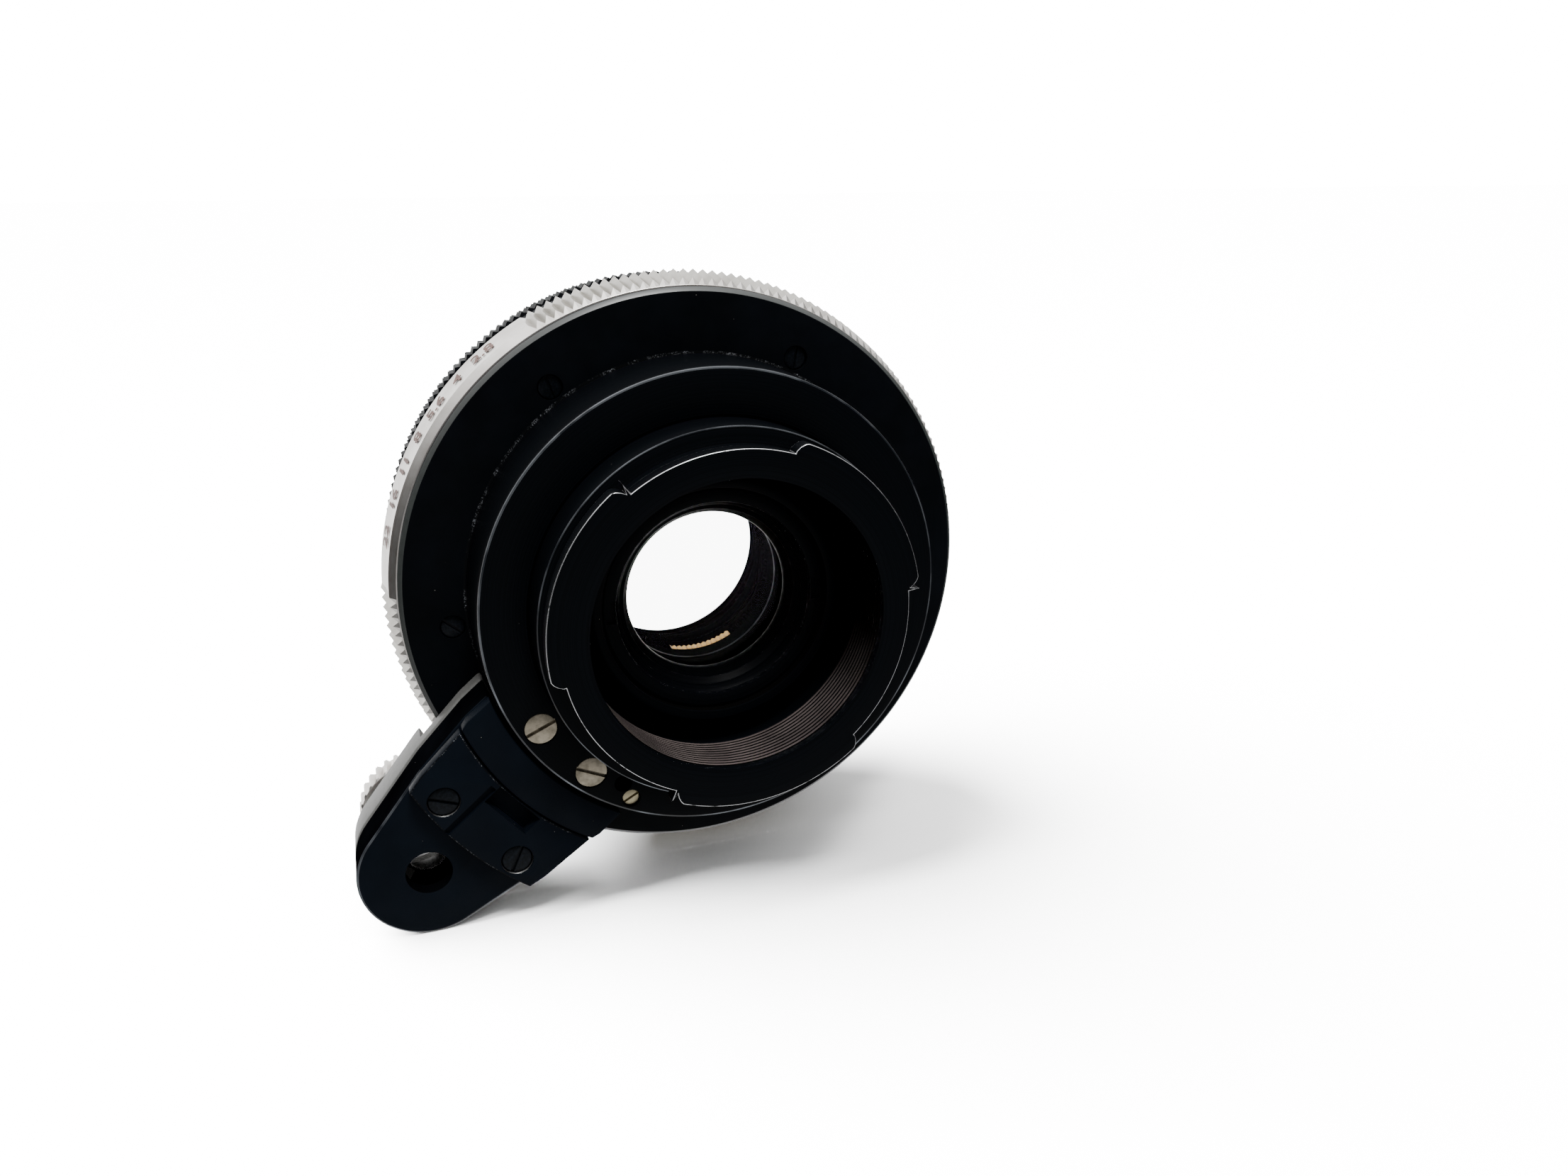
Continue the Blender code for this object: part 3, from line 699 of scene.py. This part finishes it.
def make_aperture_ring(looks):
    """Silver ring with a tapered band: a zigzag knurl, a smooth zone and ochre f-numbers."""
    ring = lathe("aperture_ring_fine", [
        (28.7, 18.6), (29.4, 17.75), (31.3, 17.75, 0.04), (32.0, 18.65, 0), (32.35, 20.5, 0),
        (32.7, 22.4, 0), (32.1, 23.0, 0), (28.7, 23.0)], KNURL_TEETH * 2)

    def in_smooth_zone(bearing):
        return SMOOTH_ZONE[0] < bearing < SMOOTH_ZONE[1]

    knurl(ring, KNURL_TEETH, 18.3, 22.6, 0.981, lambda r, b: r > 31.9 and not in_smooth_zone(b))
    for station, shift in ((18.65, -0.46), (22.4, 0.48)):
        pick(ring, lambda r, b, s: abs(s - station) < 0.1 and r < station * 0.18 + 28.36)
        bpy.ops.transform.translate(value=(0.0, shift * MM, 0.0))
        bpy.ops.object.mode_set(mode="OBJECT")
    pick(ring, lambda r, b, s: r > 32.2 and s > 20.0 and in_smooth_zone(b))
    scale_radius(32.55 / 32.7)
    settle(ring, "aperture", looks["silver"], ["aperture_ring"])
    paint(ring, looks["knurled"],
          lambda r, b, s: r > 31.6 and 18.3 < s < 22.8 and not in_smooth_zone(b))
    smooth(ring, 18.0)
    for text, bearing in STOPS:
        write(f"stop_{text}", text, 1.7, 32.05, bearing, 18.75, "aperture", looks["ochre"],
              taper=0.16)


def make_index_ring(looks):
    """Fixed ring with the index and the depth-of-field lines."""
    ring = lathe("index_ring_fine", [(28.6, 23.4), (30.9, 23.4, 0.15), (30.9, 25.4, 0.15), (28.6, 25.4)])
    settle(ring, "housing", looks["turned"], ["index_ring"])
    for step in (-3, -2, -1, 0, 1, 2, 3):
        bearing = INDEX_BEARING + 6.0 * step
        width = 0.42 if step == 0 else 0.2
        mark = bar(spot(30.9, bearing, 24.4), (width, 1.3, 0.04), bearing)
        mark.name = f"index_line_{step + 4}"
        settle(mark, "housing", looks["red" if step == 0 else "white"])


def make_focus_ring(looks):
    """Focusing ring: a smooth band with distances and a ribbed grip in two steps."""
    ring = lathe("focus_ring_fine", [
        (28.8, 25.7), (31.5, 25.7, 0.15), (31.6, 28.3, 0), (31.2, 28.5, 0), (31.2, 28.7, 0),
        (32.0, 28.95, 0), (32.0, 31.1, 0), (31.2, 31.35, 0), (31.2, 31.55, 0),
        (31.5, 31.7, 0), (31.5, 34.5, 0), (31.0, 35.2, 0.1), (28.8, 35.2)], GRIP_RIBS * 2)
    knurl(ring, GRIP_RIBS, 28.8, 31.2, 31.65 / 32.0)
    knurl(ring, GRIP_RIBS, 31.6, 34.6, 31.15 / 31.5)
    reclose(ring)
    settle(ring, "focus", looks["black"], ["focus_ring"])
    smooth(ring, 25.0)
    for index, text in enumerate(DISTANCES):
        bearing = INDEX_BEARING - 20.0 * (len(DISTANCES) - index)
        write(f"distance_{index + 1}", text, 1.4, 31.6, bearing, 25.2, "focus", looks["white"])


def make_sleeve(looks):
    """Helicoid sleeve, seen as a thin ring between the grip and the filter ring."""
    sleeve = lathe("helicoid_sleeve_fine", [
        (22.6, 19.5), (25.2, 19.5), (25.2, 33.2), (28.4, 33.2), (28.4, 34.6), (22.6, 34.6)])
    settle(sleeve, "focus", looks["knurled"], ["helicoid_sleeve"])
    barrel = lathe("fixed_barrel_fine", [(25.5, 18.5), (28.2, 18.5), (28.2, 32.9), (25.5, 32.9)])
    settle(barrel, "housing", looks["turned"], ["main_barrel"])


def make_filter_ring(looks):
    """Front rim with its filter thread and a plate of light-trapping steps."""
    thread = []
    for turn in range(5):
        station = 39.5 - 0.5 * turn
        thread += [(25.05, station, 0), (25.4, station - 0.25, 0)]
    steps = []
    for index in range(9):
        radius = 24.9 - 1.05 * index
        station = 37.2 - 0.13 * index
        steps += [(radius, station, 0), (radius - 0.25, station - 0.28, 0)]
    rim = lathe("filter_ring_fine", [(15.3, 35.0), (27.5, 35.0, 0.15), (27.5, 36.0, 0), (27.3, 36.2, 0),
                                     (27.3, 36.5, 0), (27.5, 36.7, 0), (27.5, 40.0, 0.3), (25.5, 40.0, 0.2)]
                + thread + steps + [(15.3, 35.8, 0.1)])
    settle(rim, "optics", looks["turned"], ["filter_ring"])
    paint(rim, looks["rubbed"], lambda r, b, s: r > 27.2 and s > 39.75)


# ---------------------------------------------------------------- optics

def dome(radius, station, bulge, rings=10):
    """Points of a spherical surface from the axis to the rim; a positive bulge faces the front."""
    return [(radius * i / rings, station + bulge * (1 - (i / rings) ** 2), 0) for i in range(rings + 1)]


def make_glass(name, node, radius, rear, rear_bulge, front, front_bulge, looks):
    """Lens element between two spherical surfaces."""
    profile = dome(radius, rear, rear_bulge) + list(reversed(dome(radius, front, front_bulge)))
    piece = lathe(name, profile, 128)
    settle(piece, "optics", looks["glass"], [node])
    paint(piece, looks["edge"], lambda r, b, s: r > 0.99 * radius)
    smooth(piece, 60.0)


def spanner_slots(piece, radius, station, length):
    """Cut the two slots that a ring spanner turns a retaining ring by."""
    cut(piece, *[bar(spot(radius, b, station), (length, 1.0, 1.0), 90.0) for b in (90, 270)])


def make_optics(looks):
    """Cells, retaining rings, glass and the iris housing."""
    cell = lathe("rear_cell_fine", [
        (12.1, 8.4, 0.15), (13.1, 8.4, 0.15), (13.1, 9.2, 0), (12.9, 9.4, 0), (12.9, 19.0), (16.7, 19.0),
        (16.7, 20.6), (9.15, 20.6, 0.1), (9.15, 18.6, 0.1), (12.1, 18.6)])
    settle(cell, "optics", looks["turned"], ["rear_cell"])
    paint(cell, looks["edge"], lambda r, b, s: s > 12.0)
    paint(cell, looks["rubbed"], lambda r, b, s: r < 9.24 and s < 18.75)
    retainer = lathe("rear_retainer_fine", [
        (10.5, 9.2, 0.12), (11.8, 9.2, 0.12), (11.8, 13.0), (8.65, 13.0, 0.05), (8.75, 12.3, 0),
        (9.3, 11.6, 0), (9.35, 11.3, 0), (9.9, 10.7, 0), (9.95, 10.4, 0), (10.45, 9.8, 0)])
    spanner_slots(retainer, 11.1, 9.2, 2.4)
    settle(retainer, "optics", looks["turned"], ["rear_retaining_ring"])
    base = lathe("iris_base_fine", [(9.35, 20.9, 0), (16.7, 20.9), (16.7, 22.1), (9.35, 22.1, 0)], 200)
    knurl(base, 100, 20.0, 22.5, 1.02, lambda r, b: r < 10.0)
    settle(base, "optics", looks["edge"], ["iris_base"])
    paint(base, looks["brass"],     # brass on the lip's lower part only, where it stands for the glint seen there: a painted glint
          lambda r, b, s: r < 9.6 and 21.0 < s < 22.0 and (b < 15.0 or b > 331.0))
    drive = lathe("iris_drive_fine", [(10.05, 25.2), (16.6, 25.2), (16.6, 26.2), (10.05, 26.2)])
    settle(drive, "iris_drive", looks["edge"], ["iris_drive_ring"])
    front = lathe("front_cell_fine", [
        (10.45, 26.6), (16.7, 26.6), (16.7, 28.2), (13.8, 28.2), (15.2, 31.0), (15.2, 33.4), (12.8, 33.4),
        (12.8, 27.8), (10.45, 27.8)])
    settle(front, "optics", looks["edge"], ["front_cell"])
    spacer = lathe("element_spacer_fine", [(11.4, 30.2), (12.4, 30.2), (12.4, 30.9), (11.4, 30.9)])
    settle(spacer, "optics", looks["edge"], ["element_spacer"])
    holder = lathe("front_retainer_fine", [
        (12.05, 33.7, 0.05), (15.1, 33.7), (15.1, 35.0, 0.15), (13.4, 35.0, 0.15), (12.5, 34.2, 0)])
    spanner_slots(holder, 14.3, 35.0, 2.0)
    settle(holder, "optics", looks["turned"], ["front_retaining_ring"])
    paint(holder, looks["edge"], lambda r, b, s: s < 34.25)
    make_glass("rear_glass", "fourth_element", 11.7, 13.35, -0.05, 14.6, 1.0, looks)
    make_glass("third_glass", "third_element", 11.7, 15.0, 1.0, 18.3, -0.9, looks)
    make_glass("second_glass", "second_element", 12.4, 28.1, 0.7, 29.9, -0.8, looks)
    make_glass("front_glass", "front_element", 12.4, 31.2, 0.5, 32.9, 1.6, looks)


def make_blades(looks):
    """Six blued blades with fine outlines, each on its own level."""
    pivot, inner, outer, sweep = 15.4, 9.7, 14.6, 150.0
    for number in range(BLADES):
        turn = 360.0 * number / BLADES
        outline = [spot(outer, turn + 9.0 + (sweep - 13.0) * i / 36, 0) for i in range(37)]
        outline += [spot(inner, turn + sweep - (sweep + 6.0) * i / 42, 0) for i in range(43)]
        outline += [spot(pivot + 1.3 * math.cos(t), turn + 5.5 * math.sin(t), 0)
                    for t in [math.pi * (-0.6 + 1.2 * i / 10) for i in range(11)]]
        start = 22.4 + 0.4 * number
        blade = plate(f"blade_{number + 1}_fine", outline, start, start + 0.2, 0)
        settle(blade, f"blade_{number + 1}", looks["blued"], [f"iris_blade_{number + 1}"])
        paint(blade, looks["edge"], lambda r, b, s: r < 9.75)


# ---------------------------------------------------------------- release arm

def arc(radius, first, last, steps):
    """Points along an arc about the optical axis."""
    return [spot(radius, first + (last - first) * i / steps, 0) for i in range(steps + 1)]


def arm_outline(inset, root):
    """Outline of the arm with a round tip, drawn in by an inset."""
    tip = ARM_TIP - inset
    lean = math.degrees(math.asin(1.5 / 7.0))       # of the sides, towards the tip
    half = ARM_HALF - inset
    swing = math.degrees(math.asin(half / root))
    points = arc(root, ARM_BEARING + swing, ARM_BEARING - swing, 24)
    points += [arm_spot(26.0, -half), arm_spot(33.0, inset - ARM_WAIST)]
    for index in range(41):
        turn = math.radians(lean - 90.0 + (180.0 - 2 * lean) * index / 40)
        points.append(arm_spot(ARM_HOLE + tip * math.cos(turn), tip * math.sin(turn)))
    return points + [arm_spot(33.0, ARM_WAIST - inset), arm_spot(26.0, half)]


def make_arm(looks):
    """Black rear shell, saddle and cover plate, grey front shell, and the cover plate's screws."""
    hole = arm_spot(ARM_HOLE, 0.0)
    shell = plate("arm_shell", arm_outline(0.0, 24.95), 9.8, 14.4, 0.25, 3)
    cut(shell, plate("tool", arm_outline(1.5, 26.4), 11.4, 15.4, 0), rod(hole, 2.35, 9.0, 12.5, 64))
    settle(shell, "housing", looks["arm"], ["arm_body"])
    # painted shade: every face in front of the rear face, the flanks, gets the darker copy of the arm's
    # black
    paint(shell, looks["side"], lambda r, b, s: s > 9.95)
    paint(shell, looks["rubbed"], lambda r, b, s: r > 34.0 and 9.805 < s < 9.88)

    sides = math.degrees(math.asin(ARM_HALF / 24.95))
    step = math.degrees(math.asin(9.35 / 28.6))
    outer = math.degrees(math.asin(8.5 / 36.0))
    saddle = arc(24.85, ARM_BEARING + sides, ARM_BEARING - sides, 24)
    saddle += [arm_spot(26.0, -ARM_HALF)]
    saddle += arc(28.5, ARM_BEARING - step - 0.3, ARM_BEARING + step + 0.3, 24)
    saddle += [arm_spot(26.0, ARM_HALF)]
    piece = plate("arm_saddle", saddle, 8.0, 9.5, 0.1)
    settle(piece, "housing", looks["arm"])
    cover = arc(28.75, ARM_BEARING + step, ARM_BEARING - step, 24) + [arm_spot(33.0, -ARM_WAIST)]
    cover += arc(36.0, ARM_BEARING - outer, ARM_BEARING + outer, 24) + [arm_spot(33.0, ARM_WAIST)]
    piece = plate("arm_cover", cover, 8.1, 9.5, 0.14)
    screws = [spot(34.0, ARM_BEARING + 8.8, 0.0), spot(34.0, ARM_BEARING - 8.8, 0.0)]
    slot = bar(arm_spot(29.9, -0.7, 9.0), (2.2, 3.0, 5.8), ARM_BEARING + 90.0)
    groove = bar(arm_spot(32.6, 2.6, 8.1), (6.6, 0.9, 0.75), ARM_BEARING + 90.0)
    cut(piece, slot, groove, *[rod(c, 1.68, 7.0, 9.0) for c in screws])
    settle(piece, "housing", looks["arm"], ["arm_cover_plate"])
    paint(piece, looks["dusty"], lambda r, b, s: 8.105 < s < 8.18)
    for number, centre in enumerate(screws, 1):
        slotted_screw(f"cover_screw_{number}_head", f"cover_screw_{number}", centre, 1.5, 8.35, 0.7,
                      (20.0, -65.0)[number - 1], "screw", looks)

    front = plate("arm_front", arm_outline(0.0, 24.95), 14.6, 19.2, 0.5, 4)
    relief = lathe("tool", [(0, 16.4, 0), (33.5, 16.4, 0), (33.5, 30, 0), (0, 30, 0)], STEPS)
    cut(front, relief, rod(hole, 4.1, 15.6, 21.0, 64), rod(hole, 2.6, 14.0, 16.0, 48))
    settle(front, "housing", looks["grey"], ["arm_front_shell"])
    # painted shade: the grey shell's faces round the plunger hole are lamp black, so the hole reads as
    # shadowed
    paint(front, looks["edge"],
          lambda r, b, s: s < 15.7 and (spot(r, b, 0.0) - hole).length < 4.5 * MM)


def make_release(looks):
    """Serrated button, plunger with a sawn slot, and the return spring."""
    hole = arm_spot(ARM_HOLE, 0.0)
    plunger = lathe("plunger", [(0, 13.2, 0), (0.9, 13.28, 0), (1.6, 13.55, 0), (2.1, 14.1, 0.1),
                                (2.1, 24.7), (0, 24.7, 0)], 64, hole)
    cut(plunger, bar(hole + Vector((0.0, 13.2 * MM, 0.0)), (6.0, 1.6, 0.6), -14.0))
    settle(plunger, "release", looks["polished"], ["release_plunger"])

    lines = BUTTON_TEETH * 4
    pitch = 360.0 / lines
    button = lathe("button", [
        (2.5, 21.5), (3.8, 21.5), (3.8, 23.0), (6.3, 23.0, 0.1), (6.5, 23.25, 0), (6.5, 26.1, 0),
        (5.7, 27.0, 0.15), (4.6, 26.8, 0.2), (2.5, 26.45, 0), (0, 26.4, 0), (0, 25.0, 0), (2.5, 25.0)],
        lines, hole)
    pick(button, lambda r, b, s: r > 6.4 and round((b - pitch / 2) / pitch) % lines % 4 >= 2, hole)
    scale_radius(0.92, hole)
    reclose(button)
    settle(button, "release", looks["silver"], ["release_button"])
    smooth(button, 25.0)

    bpy.ops.object.select_all(action="DESELECT")
    bpy.ops.mesh.primitive_circle_add(vertices=12, radius=0.22 * MM, location=(0, 0, 0))
    spring = bpy.context.object
    spring.name = "return_spring_fine"
    bpy.ops.object.mode_set(mode="EDIT")
    bpy.ops.mesh.select_all(action="SELECT")
    bpy.ops.transform.translate(value=(3.2 * MM, 0.0, 0.0))
    bpy.ops.object.mode_set(mode="OBJECT")
    spring.location = hole + Vector((0.0, 16.0 * MM, 0.0))
    coil = spring.modifiers.new("coil", "SCREW")
    coil.axis = "Y"
    coil.steps = 36
    coil.render_steps = 36
    coil.iterations = 4
    coil.screw_offset = 1.28 * MM
    coil.use_merge_vertices = False
    apply_modifiers(spring)
    bpy.ops.object.transform_apply(location=True, rotation=True, scale=True)
    bpy.ops.object.mode_set(mode="EDIT")
    bpy.ops.mesh.select_all(action="SELECT")
    bpy.ops.mesh.fill_holes(sides=0)
    close_up(1e-6)
    settle(spring, "housing", looks["steel"], ["return_spring"])
    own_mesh(spring)


def finish_hidden(looks):
    """Finishes for the CAD pieces that stay."""
    for name, look in (("click_ball", "steel"), ("focus_key", "brass"), ("lever_pin", "steel"),
                       ("release_lever", "steel"), ("optics_barrel", "turned"),
                       ("focus_set_screw_1", "screw"), ("focus_set_screw_2", "screw"),
                       ("focus_set_screw_3", "screw")):
        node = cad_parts[name]
        node.data.materials.clear()
        node.data.materials.append(looks[look])


# ---------------------------------------------------------------- studio

def area_light(name, place, aim, size, radiance):
    """Square softbox of a given brightness."""
    bpy.ops.object.light_add(type="AREA", location=place)
    light = bpy.context.object
    light.name = name
    light.data.size = size
    light.data.energy = radiance * math.pi * size * size
    light.rotation_euler = (Vector(aim) - Vector(place)).to_track_quat("-Z", "Y").to_euler()
    return light


def make_table():
    """White table with a light of its own, so that it burns out to white and still takes a shadow."""
    bpy.ops.object.select_all(action="DESELECT")
    bpy.ops.mesh.primitive_circle_add(vertices=96, radius=60.0, fill_type="NGON")
    floor = bpy.context.object
    floor.name = "floor"
    floor.data.materials.append(new_finish("white_table", "#f4f4f4", 0.0, 0.9, 0.0)[0])
    floor.visible_diffuse = False
    floor.visible_glossy = False
    floor.visible_transmission = False

    table_only = bpy.data.collections.new("table_only")
    table_only.objects.link(floor)
    bpy.ops.object.light_add(type="SUN", rotation=[math.radians(a) for a in (-16.0, -36.0, 0.0)])
    sun = bpy.context.object
    sun.name = "table_light"
    sun.data.energy = 62.0
    sun.data.angle = math.radians(62.0)
    sun.light_linking.receiver_collection = table_only


def make_surroundings():
    """White paper behind, dark room around, a bright sky above and the table below."""
    world = bpy.data.worlds.new("studio")
    bpy.context.scene.world = world
    world.use_nodes = True
    tree = world.node_tree
    tree.nodes.clear()
    towards = add(tree, "ShaderNodeTexCoord").outputs["Generated"]

    def facing(side):
        return add(tree, "ShaderNodeVectorMath", {1: side}, {0: towards},
                   operation="DOT_PRODUCT").outputs["Value"]

    def brighter(first, second):
        return add(tree, "ShaderNodeMath", links={0: first, 1: second}, operation="MAXIMUM").outputs[0]

    paper = ramp(tree, facing((0.0, 0.99, -0.1)), 0.5, 0.85)
    sky = add(tree, "ShaderNodeValToRGB", links={0: ramp(tree, facing((0.0, 0.0, 1.0)), -1.0, 1.0)})
    levels = ((0.0, 0.01), (0.6, 0.015), (0.68, 0.1), (0.8, 0.42), (0.95, 0.9))
    while len(sky.color_ramp.elements) < len(levels):
        sky.color_ramp.elements.new(0.5)
    for element, (place, level) in zip(sky.color_ramp.elements, levels):
        element.position = place
        element.color = (level, level, level, 1.0)
    table = ramp(tree, facing((0.0, -0.3, -0.95)), 0.33, 0.8, 0.0, 0.45)
    level = brighter(brighter(paper, sky.outputs["Color"]), table)
    soft = add(tree, "ShaderNodeBackground", {"Strength": 3.2}, {"Color": level})
    white = add(tree, "ShaderNodeBackground", {"Color": (1.0, 1.0, 1.0, 1.0), "Strength": 40.0})

    # Only the camera, straight or through clear glass, sees the white.
    rays = add(tree, "ShaderNodeLightPath").outputs
    bounces = add(tree, "ShaderNodeMath", links={0: rays["Diffuse Depth"], 1: rays["Glossy Depth"]},
                  operation="ADD")
    direct = add(tree, "ShaderNodeMath", {1: 0.5}, {0: bounces.outputs[0]}, operation="LESS_THAN")
    clear = add(tree, "ShaderNodeMath", links={0: rays["Is Transmission Ray"], 1: direct.outputs[0]},
                operation="MULTIPLY")
    seen = brighter(rays["Is Camera Ray"], clear.outputs[0])
    mixed = add(tree, "ShaderNodeMixShader", links={0: seen, 1: soft.outputs[0], 2: white.outputs[0]})
    add(tree, "ShaderNodeOutputWorld", links={"Surface": mixed.outputs[0]})


def make_camera():
    """Camera behind the lens, a little to the left and above."""
    bpy.ops.object.camera_add(location=AXIS + Vector((-32.01, -102.11, 40.23)) * MM,
                              rotation=[math.radians(a) for a in (71.37, 0.64, -19.77)])
    camera = bpy.context.object
    camera.name = "camera"
    camera.data.lens = 27.016
    camera.data.sensor_width = 36.0
    camera.data.clip_start = 0.005
    camera.data.clip_end = 200.0
    bpy.context.scene.camera = camera


looks = make_finishes()
for make in (make_bayonet, make_throat, make_boss, make_flange, make_aperture_ring, make_index_ring,
             make_focus_ring, make_sleeve, make_filter_ring, make_optics, make_blades, make_arm,
             make_release, finish_hidden):
    make(looks)
make_table()
area_light("key_light", (-0.5, 0.45, 0.8), (0.0, 0.0, 0.03), 0.5, 3.0)
area_light("fill_light", (0.03, -0.4, 0.9), (0.0, 0.0, 0.03), 0.22, 70.0)
make_surroundings()
make_camera()
